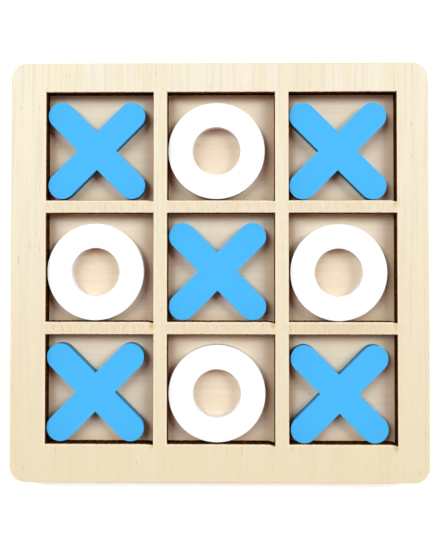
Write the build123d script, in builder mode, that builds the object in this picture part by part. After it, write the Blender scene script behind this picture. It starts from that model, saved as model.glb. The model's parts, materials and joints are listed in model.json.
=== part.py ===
from build123d import *
import os

os.makedirs("parts", exist_ok=True)

# Tic tac toe set: a plywood tray with nine square pockets, five crosses and four rings.
# Millimetres. +Z is up, +X is the player's right, +Y points away from the player.
# The origin is the middle of the tray's underside.

# ---- Driving dimensions: the tray ----
board_width = 140.0  # along X
board_depth = 140.6  # along Y
board_corner_radius = 5.2
base_thickness = 3.0
grid_thickness = 5.0  # the depth of the pockets
rim_break = 0.25  # sanded outer rims, top and bottom

# ---- Driving dimensions: the pockets, three columns by three rows ----
pocket_width = 36.1  # along X
pocket_depth = 36.4  # along Y
column_bar = 4.7  # wood between two columns
row_bar = 4.3  # wood between two rows
left_rail = 11.8  # the right rail takes what is left of the width
rear_rail = 10.0  # the front rail takes what is left of the depth
kerf_radius = 0.15  # the laser beam's own radius, left in every inside corner
nick_radius = 0.45  # burn notch where the beam started each cut
nick_inset = 0.2  # how far the notch's centre lies inside the corner

# ---- Driving dimensions: the playing pieces ----
piece_thickness = 4.0
piece_ease = 0.35  # rounded rims
cross_arm_width = 9.15
cross_span = 32.7  # overall, along X and along Y
ring_outer_diameter = 32.5
ring_inner_diameter = 16.2

# Where each playing piece lies: its pocket's column (left to right) and row (rear to front),
# and how far it has slid in its loose pocket from the pocket's middle, along X and along Y.
cross_places = [
    (0, 0, -1.20, -1.35),
    (2, 0, -1.50, -1.55),
    (1, 1, -1.20, -1.40),
    (0, 2, -1.45, -1.25),
    (2, 2, -1.15, -1.75),
]
ring_places = [
    (1, 0, -1.55, -1.50),
    (0, 1, -1.50, -1.60),
    (2, 1, -1.30, -1.80),
    (1, 2, -1.40, -1.60),
]

# ---- Worked out ----
column_pitch = pocket_width + column_bar
row_pitch = pocket_depth + row_bar
column_centers = [
    -board_width / 2 + left_rail + pocket_width / 2 + column * column_pitch for column in range(3)
]
row_centers = [
    board_depth / 2 - rear_rail - pocket_depth / 2 - row * row_pitch for row in range(3)
]
pocket_centers = [(x, y) for y in row_centers for x in column_centers]
nick_centers = [
    (x + pocket_width / 2 - nick_inset, y - pocket_depth / 2 + nick_inset)
    for x, y in pocket_centers
]
# A cross's arms lie on the diagonals, so their end centres are this far apart along an arm.
cross_arm_centers = (cross_span - cross_arm_width) * 2**0.5


def resting_plane(column, row, slide_x, slide_y):
    """The plane on the pocket's floor that a playing piece lies on, centred on the piece."""
    x = column_centers[column] + slide_x
    y = row_centers[row] + slide_y
    return Plane(origin=(x, y, base_thickness))


def flat_rims(part):
    """The edges round the lowest and the highest face of a flat piece."""
    levels = part.edges().group_by(Axis.Z)
    return levels[0] + levels[-1]


# ---- Base board: the plain sheet under the grid, the floor of every pocket ----
with BuildPart() as base_board:
    with BuildSketch():
        RectangleRounded(board_width, board_depth, board_corner_radius)
    extrude(amount=base_thickness)
    underside = base_board.faces().sort_by(Axis.Z)[0]
    fillet(underside.edges(), radius=rim_break)
base_board.part.label = "base_board"
export_step(base_board.part, "parts/base_board.step")

# ---- Grid frame: one sheet with nine windows cut through it, glued on the base ----
with BuildPart() as grid_frame:
    with BuildSketch(Plane.XY.offset(base_thickness)):
        RectangleRounded(board_width, board_depth, board_corner_radius)
        with Locations(*pocket_centers):
            RectangleRounded(pocket_width, pocket_depth, kerf_radius, mode=Mode.SUBTRACT)
        with Locations(*nick_centers):
            Circle(nick_radius, mode=Mode.SUBTRACT)
    extrude(amount=grid_thickness)
    top_face = grid_frame.faces().sort_by(Axis.Z)[-1]
    fillet(top_face.outer_wire().edges(), radius=rim_break)
grid_frame.part.label = "grid_frame"
export_step(grid_frame.part, "parts/grid_frame.step")

# ---- Crosses: two round-ended arms in one flat piece ----
for number, place in enumerate(cross_places, start=1):
    with BuildPart() as x_piece:
        with BuildSketch(resting_plane(*place)):
            SlotCenterToCenter(cross_arm_centers, cross_arm_width, rotation=45)
            SlotCenterToCenter(cross_arm_centers, cross_arm_width, rotation=-45)
        extrude(amount=piece_thickness)
        fillet(flat_rims(x_piece), radius=piece_ease)
    x_piece.part.label = f"x_piece_{number}"
    export_step(x_piece.part, f"parts/x_piece_{number}.step")

# ---- Rings: flat washers ----
for number, place in enumerate(ring_places, start=1):
    with BuildPart() as o_piece:
        with BuildSketch(resting_plane(*place)):
            Circle(ring_outer_diameter / 2)
            Circle(ring_inner_diameter / 2, mode=Mode.SUBTRACT)
        extrude(amount=piece_thickness)
        fillet(flat_rims(o_piece), radius=piece_ease)
    o_piece.part.label = f"o_piece_{number}"
    export_step(o_piece.part, f"parts/o_piece_{number}.step")
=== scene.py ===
import json
import math

import bpy
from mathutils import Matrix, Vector, geometry, noise


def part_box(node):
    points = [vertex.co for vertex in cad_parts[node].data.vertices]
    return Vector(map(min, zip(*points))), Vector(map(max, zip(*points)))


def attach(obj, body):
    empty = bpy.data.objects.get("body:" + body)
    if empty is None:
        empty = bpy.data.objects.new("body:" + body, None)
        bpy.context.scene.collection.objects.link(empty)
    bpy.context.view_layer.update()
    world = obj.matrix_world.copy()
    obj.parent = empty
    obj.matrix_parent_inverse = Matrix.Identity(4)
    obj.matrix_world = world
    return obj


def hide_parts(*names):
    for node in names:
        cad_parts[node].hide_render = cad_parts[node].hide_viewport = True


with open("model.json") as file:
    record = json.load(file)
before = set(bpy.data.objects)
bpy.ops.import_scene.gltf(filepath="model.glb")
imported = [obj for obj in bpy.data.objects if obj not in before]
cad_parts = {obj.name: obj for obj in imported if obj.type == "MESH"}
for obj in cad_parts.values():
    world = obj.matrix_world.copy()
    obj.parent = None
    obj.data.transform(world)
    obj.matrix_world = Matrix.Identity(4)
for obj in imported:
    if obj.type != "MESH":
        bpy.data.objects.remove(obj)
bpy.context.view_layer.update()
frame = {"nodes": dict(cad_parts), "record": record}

# Tic tac toe set: a plywood tray of nine laser-cut pockets, five painted crosses, four painted rings.
# Metres. The frame gives every piece's box; the values below give what a box can't say.

# ---- The tray, as the frame has it ----
base_low, base_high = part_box("base_board")
grid_low, grid_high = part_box("grid_frame")
board_width = grid_high.x - grid_low.x
board_depth = grid_high.y - grid_low.y
board_corner_radius = 0.0052
outer_rim_radius = 0.00025
glued_rim_radius = 0.00006  # on both sheets, where they meet
outer_burr = 0.00002

# ---- The windows, in columns from left to right and rows from rear to front ----
windows_each_way = 3
window_width = 0.0361
window_depth = 0.0364
column_bar = 0.0047  # wood between two columns
row_bar = 0.0043  # wood between two rows
left_rail = 0.0118
rear_rail = 0.0100
column_pitch = window_width + column_bar
row_pitch = window_depth + row_bar
first_column_x = grid_low.x + left_rail + window_width / 2
first_row_y = grid_high.y - rear_rail - window_depth / 2
column_centers = [first_column_x + column * column_pitch for column in range(windows_each_way)]
row_centers = [first_row_y - row * row_pitch for row in range(windows_each_way)]
window_centers = [(x, y) for y in row_centers for x in column_centers]
kerf_radius = 0.00018  # the laser's own roundness, left in the inside corners
window_rim_radius = 0.00010
window_foot_radius = 0.00002

# ---- The windows' burnt edges ----
burr_across_grain = 0.00009
burr_along_grain = 0.00003
fine_burr = (2600, 500)  # features per metre along the outline and up the wall
coarse_burr = (700, 90)
nick_length = 0.0026  # the burnt wedge at each window's front right corner, along the front edge
nick_fade = 0.0009  # how far the wedge reaches along the side walls
nick_curve = 1.7  # how late the wedge deepens
nick_depths = (0.00035, 0.00030, 0.00050, 0.00040, 0.00055, 0.00050, 0.00040, 0.00070, 0.00060)

# ---- The playing pieces ----
cross_arm_width = 0.00915
ring_wall = 0.00815  # from the hole to the outside
piece_rim_radius = 0.00006

# ---- The plies, as shares of a sheet's thickness from its underside ----
glue_lines = (0.3, 0.7)
glue_groove_depth = 0.00004
glue_groove_half_height = 0.00007

# ---- How finely outlines and rims are divided ----
outline_step = 0.0006  # the longest run
window_step = 0.00025  # the longest run of a window, which shows its burrs
board_corner_segments = 16
kerf_segments = 6
arm_end_segments = 28
circle_segments = 144
rim_segments = 5

# ---- Material slots of a plate ----
face_slot, edge_slot, window_slot = 0, 1, 2


# ---------------------------------------------------------------- outlines

def towards(heading):
    """The unit vector at a heading in radians, from +X towards +Y."""
    return Vector((math.cos(heading), math.sin(heading)))


def arc(center, radius, start, end, segments):
    """Points on an arc from one heading to another, in radians."""
    headings = [start + (end - start) * i / segments for i in range(segments + 1)]
    return [center + radius * towards(heading) for heading in headings]


def divided(loop, step):
    """The closed loop with every run cut into lengths of at most step."""
    points = []
    for here, there in zip(loop, loop[1:] + loop[:1]):
        count = max(1, math.ceil((there - here).length / step))
        points += [here.lerp(there, i / count) for i in range(count)]
    return points


def rounded_rectangle(center, width, depth, radius, segments, step):
    """A rounded rectangle, counterclockwise from its right side."""
    loop = []
    for quarter, (side_x, side_y) in enumerate(((1, 1), (-1, 1), (-1, -1), (1, -1))):
        corner = center + Vector((side_x * (width / 2 - radius), side_y * (depth / 2 - radius)))
        start = quarter * math.pi / 2
        loop += arc(corner, radius, start, start + math.pi / 2, segments)
    return divided(loop, step)


def nicked_window(center, nick_depth):
    """One window, clockwise, its front edge burnt away in a wedge towards the right corner."""
    loop = rounded_rectangle(center, window_width, window_depth, kerf_radius, kerf_segments, window_step)
    wedge_start = center.x + window_width / 2 - nick_length
    front = center.y - window_depth / 2
    for point in loop:
        along = max(0.0, (point.x - wedge_start) / nick_length)
        nearness = max(0.0, 1 - (point.y - front) / nick_fade)
        point.y -= nick_depth * along**nick_curve * nearness
    return loop[::-1]


def cross_outline(center, span):
    """Two crossed round-ended arms on the diagonals, counterclockwise."""
    reach = (span - cross_arm_width) / 2 * math.sqrt(2)
    loop = []
    for arm in range(4):
        heading = math.pi / 4 + arm * math.pi / 2
        tip = center + reach * towards(heading)
        start, end = heading - math.pi / 2, heading + math.pi / 2
        loop += arc(tip, cross_arm_width / 2, start, end, arm_end_segments)
        loop.append(center + cross_arm_width / math.sqrt(2) * towards(heading + math.pi / 4))
    return divided(loop, outline_step)


def circle(center, radius, clockwise=False):
    """A full circle, counterclockwise unless it is a hole's."""
    loop = arc(center, radius, 0, 2 * math.pi, circle_segments)[:-1]
    return loop[::-1] if clockwise else loop


# ---------------------------------------------------------------- edge profiles: (height, inset) from below

def round_rim(height, radius, upwards):
    """A quarter round between a wall and the flat face at this height."""
    steps = [math.pi / 2 * i / rim_segments for i in range(rim_segments + 1)]
    side = 1 if upwards else -1
    rim = [(height - side * radius * (1 - math.sin(a)), radius * (1 - math.cos(a))) for a in steps]
    return rim if upwards else rim[::-1]


def ply_wall(low, high):
    """The wall between two rims, with a shallow groove at each glue line."""
    levels = []
    for share in glue_lines:
        line = low + (high - low) * share
        levels += [
            (line - glue_groove_half_height, 0.0),
            (line, glue_groove_depth),
            (line + glue_groove_half_height, 0.0),
        ]
    return levels


def edge_profile(low, high, low_radius, high_radius):
    """Rounded rims below and above a wall that shows the plies."""
    below = round_rim(low, low_radius, upwards=False)
    above = round_rim(high, high_radius, upwards=True)
    return below + ply_wall(low, high) + above


# ---------------------------------------------------------------- meshes

def outward_offsets(loop):
    """For each point, the way out of the wood, long enough to keep the runs' distance at a corner."""
    offsets = []
    for before, here, after in zip(loop[-1:] + loop[:-1], loop, loop[1:] + loop[:1]):
        first = (here - before).normalized()
        second = (after - here).normalized()
        first_out = Vector((first.y, -first.x))
        second_out = Vector((second.y, -second.x))
        offsets.append((first_out + second_out) / (1 + first_out.dot(second_out)))
    return offsets


def ripple(point, height, per_metre, shift=0):
    """Noise from -1 to 1 at a point of a wall."""
    around, upward = per_metre
    return noise.noise(Vector((point.x * around, point.y * around, height * upward + shift)))


def burr(point, outward, height, across, along):
    """How far the laser's ragged cut stands out: more across the grain, which runs along Y."""
    size = across * abs(outward.y) + along * abs(outward.x)
    fine = ripple(point, height, fine_burr)
    coarse = ripple(point, height, coarse_burr, shift=7)
    return size * (fine + 0.6 * coarse)


def plate(name, edges, materials):
    """A flat piece closed above and below. Each edge is (loop, profile, slot, across, along):
    a closed outline, its (height, inset) profile, its wall's material slot, and how ragged it is
    across and along the grain."""
    points, faces, slots = [], [], []
    low_ring, high_ring = [], []
    for loop, profile, slot, across, along in edges:
        offsets = outward_offsets(loop)
        count, first = len(loop), len(points)
        for height, inset in profile:
            for point, outward in zip(loop, offsets):
                shift = burr(point, outward, height, across, along) - inset
                points.append((*(point + outward * shift), height))
        for level in range(len(profile) - 1):
            low, high = first + level * count, first + (level + 1) * count
            for i in range(count):
                j = (i + 1) % count
                faces.append((low + i, low + j, high + j, high + i))
                slots.append(slot)
        low_ring.append(range(first, first + count))
        high_ring.append(range(len(points) - count, len(points)))
    for rings, up in ((low_ring, False), (high_ring, True)):
        index = [i for ring in rings for i in ring]
        cap = geometry.tessellate_polygon([[Vector(points[i]) for i in ring] for ring in rings])
        for triangle in cap:
            corners = [index[i] for i in triangle]
            a, b, c = (Vector(points[i]) for i in corners)
            faces_up = (b - a).cross(c - a).z > 0
            faces.append(corners if faces_up == up else corners[::-1])
            slots.append(face_slot)
    mesh = bpy.data.meshes.new(name)
    mesh.from_pydata(points, [], faces)
    for material in materials:
        mesh.materials.append(material)
    mesh.polygons.foreach_set("material_index", slots)
    mesh.polygons.foreach_set("use_smooth", [len(face) == 4 for face in faces])
    mesh.update()
    piece = bpy.data.objects.new(name, mesh)
    bpy.context.scene.collection.objects.link(piece)
    return piece


# ---------------------------------------------------------------- shader building

class Shading:
    """One Principled material and short ways to add the nodes that feed it."""

    def __init__(self, name, roughness, specular):
        self.material = bpy.data.materials.new(name)
        self.material.use_nodes = True
        self.tree = self.material.node_tree
        self.tree.nodes.clear()
        output = self.tree.nodes.new("ShaderNodeOutputMaterial")
        self.surface = self.tree.nodes.new("ShaderNodeBsdfPrincipled")
        self.tree.links.new(self.surface.outputs[0], output.inputs[0])
        self.surface.inputs["Roughness"].default_value = roughness
        self.surface.inputs["Specular IOR Level"].default_value = specular
        coordinates = self.tree.nodes.new("ShaderNodeTexCoord")
        self.place = coordinates.outputs["Object"]
        split = self.tree.nodes.new("ShaderNodeSeparateXYZ")
        self.tree.links.new(self.place, split.inputs[0])
        self.x, self.y, self.z = split.outputs
        normal = self.tree.nodes.new("ShaderNodeSeparateXYZ")
        self.tree.links.new(coordinates.outputs["Normal"], normal.inputs[0])
        self.facing_up = normal.outputs["Z"]

    def put(self, socket, value):
        """Links a node's output to a socket, or sets a plain value on it."""
        if isinstance(value, bpy.types.NodeSocket):
            self.tree.links.new(value, socket)
        elif isinstance(value, tuple) and len(value) == 3 and socket.type == "RGBA":
            socket.default_value = (*value, 1.0)
        else:
            socket.default_value = value

    def math(self, operation, first, second=0.0, third=0.0):
        """A Math node of this operation."""
        node = self.tree.nodes.new("ShaderNodeMath")
        node.operation = operation
        for socket, value in zip(node.inputs, (first, second, third)):
            self.put(socket, value)
        return node.outputs[0]

    def noise(self, per_metre, detail, roughness, shift=0.0):
        """Noise from 0 to 1 with this many features per metre along X, Y and Z."""
        mapping = self.tree.nodes.new("ShaderNodeMapping")
        self.tree.links.new(self.place, mapping.inputs["Vector"])
        mapping.inputs["Scale"].default_value = per_metre
        mapping.inputs["Location"].default_value = (shift, shift * 0.7, shift * 0.3)
        node = self.tree.nodes.new("ShaderNodeTexNoise")
        self.tree.links.new(mapping.outputs[0], node.inputs["Vector"])
        node.inputs["Scale"].default_value = 1.0
        node.inputs["Detail"].default_value = detail
        node.inputs["Roughness"].default_value = roughness
        return node.outputs["Fac"]

    def step(self, value, start, end, low=0.0, high=1.0):
        """Goes smoothly from low to high as value goes from start to end."""
        node = self.tree.nodes.new("ShaderNodeMapRange")
        node.interpolation_type = "SMOOTHSTEP"
        for socket, number in zip(node.inputs, (value, start, end, low, high)):
            self.put(socket, number)
        return node.outputs[0]

    def mix(self, factor, first, second, blend="MIX"):
        """The first colour changed by the second. Input 0 of a Mix node is its factor, inputs 6
        and 7 are its colours, and output 2 is the resulting colour."""
        node = self.tree.nodes.new("ShaderNodeMix")
        node.data_type = "RGBA"
        node.blend_type = blend
        self.put(node.inputs[0], factor)
        self.put(node.inputs[6], first)
        self.put(node.inputs[7], second)
        return node.outputs[2]

    def set_surface(self, colour, roughness=None):
        """Gives the surface its colour and, where it varies, its roughness."""
        self.put(self.surface.inputs["Base Color"], colour)
        if roughness is not None:
            self.put(self.surface.inputs["Roughness"], roughness)

    def bump(self, height, distance):
        """Raises the surface by up to this distance where height is 1."""
        node = self.tree.nodes.new("ShaderNodeBump")
        node.inputs["Distance"].default_value = distance
        self.put(node.inputs["Height"], height)
        self.put(self.surface.inputs["Normal"], node.outputs[0])

    def window_place(self):
        """Where a point is from the nearest window: how far behind its middle, and how far
        outside its side walls and its front and rear walls."""
        places = []
        for axis, first, pitch, size in (
            (self.x, column_centers[0], column_pitch, window_width),
            (self.y, row_centers[-1], row_pitch, window_depth),
        ):
            steps = self.math("DIVIDE", self.math("SUBTRACT", axis, first), pitch)
            nearest = self.math("MAXIMUM", self.math("ROUND", steps), 0.0)
            nearest = self.math("MINIMUM", nearest, windows_each_way - 1)
            middle = self.math("MULTIPLY_ADD", nearest, pitch, first)
            local = self.math("SUBTRACT", axis, middle)
            outside = self.math("SUBTRACT", self.math("ABSOLUTE", local), size / 2)
            places.append((local, outside))
        (_, outside_x), (behind_middle, outside_y) = places
        return behind_middle, outside_x, outside_y

    def blot(self, across, along, center, radii):
        """1 at a centre, fading to 0 over an ellipse of these radii."""
        squares = []
        for value, middle, radius in zip((across, along), center, radii):
            away = self.math("DIVIDE", self.math("SUBTRACT", value, middle), radius)
            squares.append(self.math("MULTIPLY", away, away))
        distance = self.math("SQRT", self.math("ADD", *squares))
        return self.step(distance, 1.0, 0.0)


# ---------------------------------------------------------------- colours

# Sanded basswood: its pale, golden and blushing bands.
grid_wood = ((0.842, 0.776, 0.648), (0.824, 0.740, 0.553), (0.848, 0.748, 0.613))
base_wood = ((0.855, 0.725, 0.570), (0.825, 0.680, 0.515), (0.855, 0.700, 0.570))
# Painted light: the tray's top is multiplied by this towards the front, darker and yellower there, as if
# less light fell on it.
painted_front_shade = (0.925, 0.880, 0.745)
fleck_brown = (0.36, 0.24, 0.12)

# Handled, toasted and scorched wood.
handled_wood = (0.70, 0.56, 0.37)
worn_wood = (0.66, 0.54, 0.37)
toasted_wood = (0.900, 0.790, 0.610)
burnt_wood = (0.22, 0.08, 0.018)
scorched_wood = (0.66, 0.41, 0.10)
resin_amber = (0.72, 0.50, 0.14)
tail_brown = (0.45, 0.28, 0.13)
rim_straw = (0.80, 0.76, 0.50)
# Painted warm shade, partly smoke, on the floor at the foot of the windows' walls.
smoke_and_shade_brown = (0.74, 0.49, 0.28)

# The windows' charred walls.
char_black = (0.012, 0.0035, 0.0010)
char_brown = (0.075, 0.022, 0.006)
char_patch = (0.120, 0.042, 0.012)
# Painted highlight on the upper part of the windows' walls.
char_painted_lit_rim = (0.34, 0.13, 0.03)
char_speck = (0.34, 0.20, 0.09)

# The sheets' outer edges.
face_ply_light = (0.50, 0.34, 0.17)
face_ply_dark = (0.40, 0.25, 0.115)
core_ply_light = (0.33, 0.20, 0.09)
core_ply_dark = (0.20, 0.11, 0.048)
glue_brown = (0.085, 0.045, 0.022)
edge_stripe = (0.15, 0.08, 0.035)
edge_patch = (0.24, 0.135, 0.06)
sanded_rim = (0.74, 0.62, 0.38)

# Paints: on top, on the sides, where a darker copy stands as painted shade, and where a rim is chipped.
sky_blue = ((0.064, 0.455, 0.900), (0.048, 0.250, 0.460), (0.040, 0.200, 0.370))
plain_white = ((0.945, 0.945, 0.945), (0.84, 0.83, 0.82), (0.78, 0.74, 0.68))


def darker(colour, share):
    """A colour times a share."""
    return tuple(share * c for c in colour)


# ---------------------------------------------------------------- materials

def along_grain(across, along, grain):
    """Features per metre along X, Y and Z for wood whose grain runs along X or Y."""
    return (along, across, across) if grain == "X" else (across, along, across)


def basswood(shading, grain, wood, contrast, banding=1.0):
    """The colour of a sanded basswood face, and the fibre and streak patterns. Contrast is how dark
    its streaks are, banding how plain its pale and golden bands are."""
    pale, gold, blush = wood
    bands = shading.noise(along_grain(150, 5, grain), 2.0, 0.5)
    blush_bands = shading.noise(along_grain(210, 9, grain), 2.0, 0.5, shift=31.0)
    streaks = shading.noise(along_grain(900, 26, grain), 4.0, 0.6, shift=12.0)
    fibres = shading.noise(along_grain(3800, 260, grain), 3.0, 0.6, shift=5.0)
    flecks = shading.noise(along_grain(1000, 190, grain), 1.0, 0.4, shift=77.0)
    golden = shading.math("MULTIPLY", shading.step(bands, 0.34, 0.66), banding)
    colour = shading.mix(golden, pale, gold)
    blushing = shading.step(blush_bands, 0.50, 0.72, 0.0, 0.7)
    colour = shading.mix(blushing, colour, blush)
    streaking = shading.math("MULTIPLY", shading.step(streaks, 0.42, 0.72), contrast)
    colour = shading.mix(streaking, colour, darker(gold, 0.74))
    fibre_shade = shading.step(fibres, 0.3, 0.75, 0.0, 0.10)
    colour = shading.mix(fibre_shade, colour, darker(gold, 0.62))
    flecking = shading.step(flecks, 0.70, 0.80, 0.0, 0.30)
    colour = shading.mix(flecking, colour, fleck_brown)
    return colour, fibres, streaks


# How deep the relief of each pattern is.
fibre_relief = 0.00002
char_relief = 0.00004
stripe_relief = 0.00003
paint_relief = 0.000012

# Marks on the tray's top: a worn patch on the front bar between rows, a resin streak beside it and
# a thin burnt tail behind the first window's rear left corner.
worn_middle = (column_centers[2], first_row_y - 1.5 * row_pitch)
resin_middle = (column_centers[2] - window_width / 2 + 0.0005, worn_middle[1] - 0.0004)
tail_middle = (column_centers[0] - window_width / 2 + 0.0001, row_centers[0] + window_depth / 2 + 0.0004)

# Scorches on the tray's top: the window (column, row) whose front right corner each lies at, its
# middle from that corner, its radii, and its strength.
nick_scorches = (
    (0, 0, (-0.0008, -0.0004), (0.0016, 0.0012), 0.35),
    (2, 0, (-0.0005, -0.0010), (0.0011, 0.0020), 0.85),
    (0, 1, (-0.0005, -0.0012), (0.0011, 0.0026), 1.00),
    (1, 1, (-0.0007, -0.0010), (0.0014, 0.0022), 1.00),
    (2, 1, (-0.0006, -0.0014), (0.0011, 0.0026), 0.75),
    (0, 2, (-0.0005, -0.0008), (0.0012, 0.0016), 0.55),
    (1, 2, (-0.0004, -0.0004), (0.0012, 0.0012), 0.70),
    (2, 2, (-0.0006, -0.0012), (0.0013, 0.0020), 0.85),
)


def handled_bars(shading, colour, outside_x):
    """Short dark streaks on the bars between rows, and a worn patch at the front bar's right. The
    streaks end where the bars between columns cross."""
    from_middle_row = shading.math("ABSOLUTE", shading.math("SUBTRACT", shading.y, row_centers[1]))
    off_rails = shading.step(from_middle_row, row_pitch, row_pitch - 0.001)
    off_column_bars = shading.step(outside_x, 0.0012, -0.0012)
    on_bar = shading.math("MULTIPLY", off_rails, off_column_bars)
    short_grain = shading.noise((1500, 420, 900), 3.0, 0.6, shift=52.0)
    handling = shading.math("MULTIPLY", on_bar, shading.step(short_grain, 0.40, 0.70, 0.15, 0.70))
    colour = shading.mix(handling, colour, handled_wood)
    worn = shading.blot(shading.x, shading.y, worn_middle, (0.026, 0.0034))
    return shading.mix(shading.math("MULTIPLY", worn, 0.60), colour, worn_wood)


def toasted_edges(shading, colour, behind_middle, outside_x, outside_y):
    """A pale toasted border round each window, and a ragged burnt line on its edge. The line is
    widest at the rear wall and faint at the side walls."""
    ragged = shading.noise((2400, 2400, 900), 3.0, 0.6, shift=9.0)
    outside = shading.math("MAXIMUM", outside_x, outside_y)
    toasting = shading.step(outside, 0.0010, 0.0003, 0.0, 0.55)
    colour = shading.mix(toasting, colour, toasted_wood)
    burnt_width = shading.step(ragged, 0.30, 0.75, 0.00010, 0.00062)
    at_rear_edge = shading.step(behind_middle, 0.0, window_depth / 2, 0.30, 1.0)
    burnt_width = shading.math("MULTIPLY", burnt_width, at_rear_edge)
    burn = shading.step(shading.math("DIVIDE", outside, burnt_width), 1.2, 0.2, 0.0, 0.9)
    burn = shading.math("MULTIPLY", burn, shading.step(outside_y, -0.00005, 0.0, 0.35, 1.0))
    return shading.mix(burn, colour, burnt_wood)


def scorched_corners(shading, colour):
    """The scorches at the windows' corners, the resin streak and the burnt tail."""
    patchy = shading.noise((420, 420, 100), 2.0, 0.5, shift=3.0)
    for column, row, (shift_x, shift_y), radii, strength in nick_scorches:
        corner_x = column_centers[column] + window_width / 2
        corner_y = row_centers[row] - window_depth / 2
        middle = (corner_x + shift_x, corner_y + shift_y)
        scorch = shading.blot(shading.x, shading.y, middle, radii)
        patches = shading.step(patchy, 0.25, 0.65, 0.7 * strength, strength)
        scorch = shading.math("MULTIPLY", scorch, patches)
        colour = shading.mix(scorch, colour, scorched_wood)
    resin = shading.blot(shading.x, shading.y, resin_middle, (0.0006, 0.0019))
    colour = shading.mix(shading.math("MULTIPLY", resin, 0.85), colour, resin_amber)
    tail = shading.blot(shading.x, shading.y, tail_middle, (0.00028, 0.0024))
    return shading.mix(shading.math("MULTIPLY", tail, 0.5), colour, tail_brown)


def grid_face():
    """The tray's top: grain along Y, toasted at the windows' edges and corners, with painted light that
    makes it paler at the rear and darker and yellower at the front.
    """
    shading = Shading("grid_face", 0.5, 0.5)
    rearward = shading.math("DIVIDE", shading.math("SUBTRACT", shading.y, grid_low.y), board_depth)
    contrast = shading.math("MULTIPLY_ADD", rearward, 0.28, 0.08)
    banding = shading.math("MULTIPLY_ADD", rearward, 0.75, 0.25)
    colour, fibres, streaks = basswood(shading, "Y", grid_wood, contrast, banding)
    # Painted light: darker and yellower towards the front, paler at the rear.
    front_shade_colour = shading.mix(rearward, painted_front_shade, (1.0, 1.0, 1.0))
    colour = shading.mix(1.0, colour, front_shade_colour, "MULTIPLY")
    behind_middle, outside_x, outside_y = shading.window_place()
    colour = handled_bars(shading, colour, outside_x)
    colour = toasted_edges(shading, colour, behind_middle, outside_x, outside_y)
    colour = scorched_corners(shading, colour)
    inset_x = shading.math("SUBTRACT", board_width / 2, shading.math("ABSOLUTE", shading.x))
    inset_y = shading.math("SUBTRACT", board_depth / 2, shading.math("ABSOLUTE", shading.y))
    rim = shading.step(shading.math("MINIMUM", inset_x, inset_y), 0.0009, 0.0, 0.0, 0.35)
    colour = shading.mix(rim, colour, rim_straw)
    shading.set_surface(colour, shading.step(streaks, 0.3, 0.7, 0.46, 0.56))
    shading.bump(fibres, fibre_relief)
    return shading.material


def base_face():
    """The base's faces: grain along X, and a warm painted shade, partly smoke marks, at the foot of the
    windows' walls.
    """
    shading = Shading("base_face", 0.6, 0.3)
    colour, fibres, streaks = basswood(shading, "X", base_wood, 0.22)
    _, outside_x, outside_y = shading.window_place()
    # Painted shade, partly smoke: warmer and darker on the floor near the windows' walls.
    inside = shading.math("MULTIPLY", shading.math("MAXIMUM", outside_x, outside_y), -1.0)
    patchy = shading.noise((500, 500, 100), 2.0, 0.5, shift=3.0)
    reach = shading.math("MULTIPLY_ADD", patchy, 0.0030, 0.0025)
    smoke_and_shade = shading.step(shading.math("DIVIDE", inside, reach), 1.0, -0.1, 0.0, 0.75)
    on_top = shading.step(shading.z, base_high.z - 0.0004, base_high.z - 0.0002)
    colour = shading.mix(shading.math("MULTIPLY", smoke_and_shade, on_top), colour, smoke_and_shade_brown)
    shading.set_surface(colour, shading.step(streaks, 0.3, 0.7, 0.55, 0.68))
    shading.bump(fibres, fibre_relief)
    return shading.material


def window_char():
    """A window's walls: charred by the laser, streaked from top to bottom, with a painted highlight that
    makes them browner near the top.
    """
    shading = Shading("window_char", 0.8, 0.0)
    streaks = shading.noise((2100, 2100, 55), 3.0, 0.6)
    patches = shading.noise((320, 320, 160), 2.0, 0.5, shift=4.0)
    specks = shading.noise((2600, 2600, 2300), 1.0, 0.4, shift=8.0)
    colour = shading.mix(shading.step(streaks, 0.36, 0.70), char_black, char_brown)
    colour = shading.mix(shading.step(patches, 0.50, 0.80, 0.0, 0.5), colour, char_patch)
    depth = shading.math("SUBTRACT", grid_high.z, shading.z)
    # Painted highlight: the walls' upper part is browner, as if more light reached it.
    colour = shading.mix(shading.step(depth, 0.0009, 0.00005, 0.0, 0.55), colour, char_painted_lit_rim)
    colour = shading.mix(shading.step(specks, 0.73, 0.79, 0.0, 0.5), colour, char_speck)
    shading.set_surface(colour)
    shading.bump(streaks, char_relief)
    return shading.material


def outer_edge(name, low, high):
    """A sheet's outer edge: three plies between dark glue lines, toasted and finely striped."""
    shading = Shading(name, 0.6, 0.3)
    share = shading.math("DIVIDE", shading.math("SUBTRACT", shading.z, low), high - low)
    wander = shading.noise((260, 260, 0), 2.0, 0.5, shift=2.0)
    share = shading.math("MULTIPLY_ADD", shading.math("SUBTRACT", wander, 0.5), 0.06, share)
    stripes = shading.noise((2300, 2300, 40), 3.0, 0.6, shift=6.0)
    layers = shading.noise((30, 30, 5200), 2.0, 0.5, shift=15.0)
    patches = shading.noise((90, 90, 120), 2.0, 0.5, shift=21.0)
    face_ply = shading.mix(shading.step(layers, 0.3, 0.7), face_ply_light, face_ply_dark)
    core_ply = shading.mix(shading.step(stripes, 0.3, 0.7), core_ply_light, core_ply_dark)
    from_middle = shading.math("ABSOLUTE", shading.math("SUBTRACT", share, 0.5))
    half_core = (glue_lines[1] - glue_lines[0]) / 2
    in_core = shading.step(from_middle, half_core + 0.01, half_core - 0.01)
    colour = shading.mix(in_core, face_ply, core_ply)
    from_glue = shading.math("ABSOLUTE", shading.math("SUBTRACT", from_middle, half_core))
    colour = shading.mix(shading.step(from_glue, 0.028, 0.008, 0.0, 0.8), colour, glue_brown)
    colour = shading.mix(shading.step(stripes, 0.5, 0.8, 0.0, 0.6), colour, edge_stripe)
    colour = shading.mix(shading.step(patches, 0.45, 0.8, 0.0, 0.5), colour, edge_patch)
    colour = shading.mix(shading.step(shading.facing_up, 0.35, 0.95), colour, sanded_rim)
    shading.set_surface(colour)
    shading.bump(stripes, stripe_relief)
    return shading.material


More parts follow.
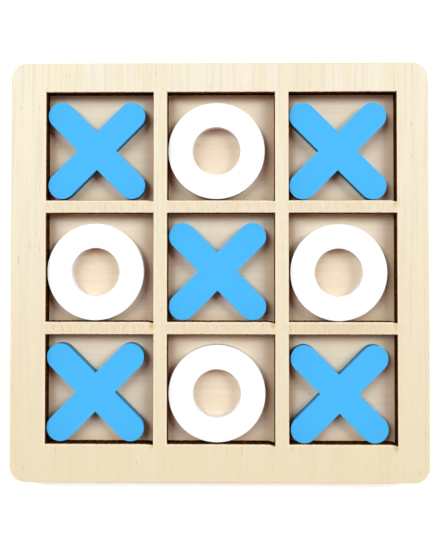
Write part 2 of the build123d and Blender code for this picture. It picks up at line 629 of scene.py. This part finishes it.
def paint(name, colours, roughness):
    """Satin paint on a small wooden piece: the grain shows faintly, the edge is thinner and duller, and the
    sides are a darker copy of the paint as painted shade.
    """
    shading = Shading(name, roughness, 0.12)
    top_colour, shaded_side_colour, chip_colour = colours
    grain = shading.noise((1500, 70, 900), 3.0, 0.6, shift=14.0)
    peel = shading.noise((1300, 1300, 1300), 2.0, 0.5, shift=3.0)
    cloud = shading.noise((90, 90, 90), 2.0, 0.5, shift=8.0)
    wear = shading.noise((1700, 1700, 1700), 3.0, 0.65, shift=23.0)
    plies = shading.noise((60, 60, 2600), 2.0, 0.5, shift=40.0)
    grain_shade = shading.step(grain, 0.3, 0.8, 0.0, 0.10)
    top = shading.mix(grain_shade, top_colour, darker(top_colour, 0.90))
    cloud_shade = shading.step(cloud, 0.3, 0.8, 0.0, 0.10)
    top = shading.mix(cloud_shade, top, darker(top_colour, 0.93))
    ply_shade = shading.step(plies, 0.35, 0.7)
    side = shading.mix(ply_shade, shaded_side_colour, darker(shaded_side_colour, 0.75))
    flatness = shading.math("ABSOLUTE", shading.facing_up)
    # Painted shade: the sides take the darker side colour, as they catch less light.
    painted = shading.mix(shading.step(flatness, 0.75, 0.25), top, side)
    off_side, off_top = shading.step(flatness, 0.25, 0.6), shading.step(flatness, 0.99, 0.8)
    on_rim = shading.math("MULTIPLY", off_side, off_top)
    chips = shading.math("MULTIPLY", on_rim, shading.step(wear, 0.62, 0.70, 0.0, 0.7))
    gloss = shading.step(peel, 0.3, 0.7, roughness - 0.05, roughness + 0.06)
    shading.set_surface(shading.mix(chips, painted, chip_colour), gloss)
    shading.bump(shading.math("MULTIPLY_ADD", grain, 0.6, peel), paint_relief)
    return shading.material


# ---------------------------------------------------------------- pieces

def flat(corner):
    """A corner's X and Y."""
    return Vector((corner.x, corner.y))


def board_outline():
    """The outline that both sheets share."""
    middle = flat(grid_low + grid_high) / 2
    radius, segments = board_corner_radius, board_corner_segments
    return rounded_rectangle(middle, board_width, board_depth, radius, segments, outline_step)


def make_base():
    """The plain sheet under the grid."""
    profile = edge_profile(base_low.z, base_high.z, outer_rim_radius, glued_rim_radius)
    edge = (board_outline(), profile, edge_slot, outer_burr, outer_burr)
    materials = [base_face(), outer_edge("base_edge", base_low.z, base_high.z)]
    return plate("base_sheet", [edge], materials)


def make_grid():
    """The sheet with nine windows."""
    low, high = grid_low.z, grid_high.z
    outside = edge_profile(low, high, glued_rim_radius, outer_rim_radius)
    edges = [(board_outline(), outside, edge_slot, outer_burr, outer_burr)]
    wall = edge_profile(low, high, window_foot_radius, window_rim_radius)
    for center, nick_depth in zip(window_centers, nick_depths):
        outline = nicked_window(Vector(center), nick_depth)
        edges.append((outline, wall, window_slot, burr_across_grain, burr_along_grain))
    materials = [grid_face(), outer_edge("grid_edge", low, high), window_char()]
    return plate("grid_sheet", edges, materials)


def painted_edge(outline, low, high):
    """An edge of a playing piece: without burrs, both of its rims eased."""
    profile = edge_profile(low.z, high.z, piece_rim_radius, piece_rim_radius)
    return (outline, profile, face_slot, 0.0, 0.0)


def make_cross(node, material):
    """A cross as wide as its node's box."""
    low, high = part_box(node)
    outline = cross_outline(flat(low + high) / 2, high.x - low.x)
    return plate(node.replace("piece", "cross"), [painted_edge(outline, low, high)], [material])


def make_ring(node, material):
    """A ring as wide as its node's box."""
    low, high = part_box(node)
    center, radius = flat(low + high) / 2, (high.x - low.x) / 2
    outlines = [circle(center, radius), circle(center, radius - ring_wall, clockwise=True)]
    edges = [painted_edge(outline, low, high) for outline in outlines]
    return plate(node.replace("piece", "ring"), edges, [material])


def stand_for(piece, node):
    """Shows the piece in place of its CAD node, on the node's body."""
    body = next(b for b, nodes in frame["record"]["behaviour"]["bodies"].items() if node in nodes)
    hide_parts(node)
    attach(piece, body)


stand_for(make_base(), "base_board")
stand_for(make_grid(), "grid_frame")
blue_paint = paint("blue_paint", sky_blue, 0.55)
white_paint = paint("white_paint", plain_white, 0.5)
for node in sorted(frame["nodes"]):
    if node.startswith("x_piece"):
        stand_for(make_cross(node, blue_paint), node)
    elif node.startswith("o_piece"):
        stand_for(make_ring(node, white_paint), node)


# ---------------------------------------------------------------- studio

lamp_distance = 4.0
lamp_colour = (0.835, 0.960, 0.98)
fill_colour = (1.0, 0.32, 0.16)
fill_strength = 0.21

# The lamps: name, heading, tilt, half width, half height and share, as soft_box takes them.
soft_boxes = (
    ("left_soft_box", 142, 40, 10, 20, 0.515),
    ("right_soft_box", 28, 48, 10, 14, 0.415),
    ("left_side_box", 180, 55, 12, 12, 0.075),
    ("right_side_box", 0, 55, 12, 12, 0.045),
)


def studio_white():
    """White that glows a little round the tray and fully further out, as the backdrop."""
    shading = Shading("studio_white", 0.9, 0.0)
    shading.set_surface((0.9, 0.9, 0.9))
    shading.put(shading.surface.inputs["Emission Color"], (1.0, 1.0, 1.0))
    nearness = shading.blot(shading.x, shading.y, (0.0, 0.0), (1.0, 1.0))
    glow = shading.step(nearness, 0.85, 0.2, 0.36, 1.0)
    shading.put(shading.surface.inputs["Emission Strength"], glow)
    return shading.material


def studio_floor():
    """A plain white bowl: a flat floor that curves up into its own backdrop."""
    flat_radius, rise = 2.6, 0.9
    flat_rings, rising_rings, spokes = 4, 12, 96
    profile = [(flat_radius * i / flat_rings, 0.0) for i in range(1, flat_rings + 1)]
    profile += [
        (flat_radius + rise * math.sin(a), rise * (1 - math.cos(a)))
        for a in [math.pi / 2 * i / rising_rings for i in range(1, rising_rings + 1)]
    ]
    points, faces = [(0.0, 0.0, base_low.z)], []
    for radius, height in profile:
        for i in range(spokes):
            a = 2 * math.pi * i / spokes
            points.append((radius * math.cos(a), radius * math.sin(a), base_low.z + height))
    for i in range(spokes):
        faces.append((0, 1 + i, 1 + (i + 1) % spokes))
    for level in range(len(profile) - 1):
        low, high = 1 + level * spokes, 1 + (level + 1) * spokes
        for i in range(spokes):
            j = (i + 1) % spokes
            faces.append((low + i, high + i, high + j, low + j))
    mesh = bpy.data.meshes.new("studio_floor")
    mesh.from_pydata(points, [], faces)
    mesh.polygons.foreach_set("use_smooth", [True] * len(faces))
    mesh.materials.append(studio_white())
    floor = bpy.data.objects.new("studio_floor", mesh)
    bpy.context.scene.collection.objects.link(floor)


def soft_box(name, heading, tilt, half_width, half_height, share):
    """A rectangular lamp that faces the tray. Its heading is from +X towards +Y, its tilt from
    straight up, and its half sizes are as seen from the tray, all in degrees. Its share is what it
    gives to the brightness of a white surface that lies flat under it."""
    lamp = bpy.data.lights.new(name, "AREA")
    lamp.shape = "RECTANGLE"
    lamp.size = 2 * lamp_distance * math.tan(math.radians(half_width))
    lamp.size_y = 2 * lamp_distance * math.tan(math.radians(half_height))
    turn, lean = math.radians(heading), math.radians(tilt)
    lamp.energy = share * (math.pi * lamp_distance) ** 2 / math.cos(lean)
    lamp.color = lamp_colour
    holder = bpy.data.objects.new(name, lamp)
    away = Vector((math.cos(turn) * math.sin(lean), math.sin(turn) * math.sin(lean), math.cos(lean)))
    holder.location = away * lamp_distance
    holder.rotation_euler = away.to_track_quat("Z", "Y").to_euler()
    bpy.context.scene.collection.objects.link(holder)


def sky():
    """A dim warm glow from all round, which fills the shadows."""
    world = bpy.data.worlds.new("sky")
    world.use_nodes = True
    background = world.node_tree.nodes["Background"]
    background.inputs["Color"].default_value = (*fill_colour, 1.0)
    background.inputs["Strength"].default_value = fill_strength
    bpy.context.scene.world = world


def camera():
    """Above the tray, less than two of its widths away, and leaning about a degree."""
    height_over_tray = 0.2375
    offset_x, offset_y = 0.00412, 0.00608  # from the tray's middle
    lean_x, lean_y = math.radians(1.155), math.radians(0.682)
    lens = bpy.data.cameras.new("camera")
    lens.lens = 47.53  # millimetres
    lens.shift_x = -0.0148
    lens.shift_y = -0.0549
    lens.clip_start = 0.01
    holder = bpy.data.objects.new("camera", lens)
    holder.location = (offset_x, offset_y, grid_high.z + height_over_tray)
    holder.rotation_euler = (lean_x, lean_y, 0.0)
    bpy.context.scene.collection.objects.link(holder)
    bpy.context.scene.camera = holder


studio_floor()
for lamp_values in soft_boxes:
    soft_box(*lamp_values)
sky()
camera()
bpy.context.scene.view_settings.view_transform = "Standard"
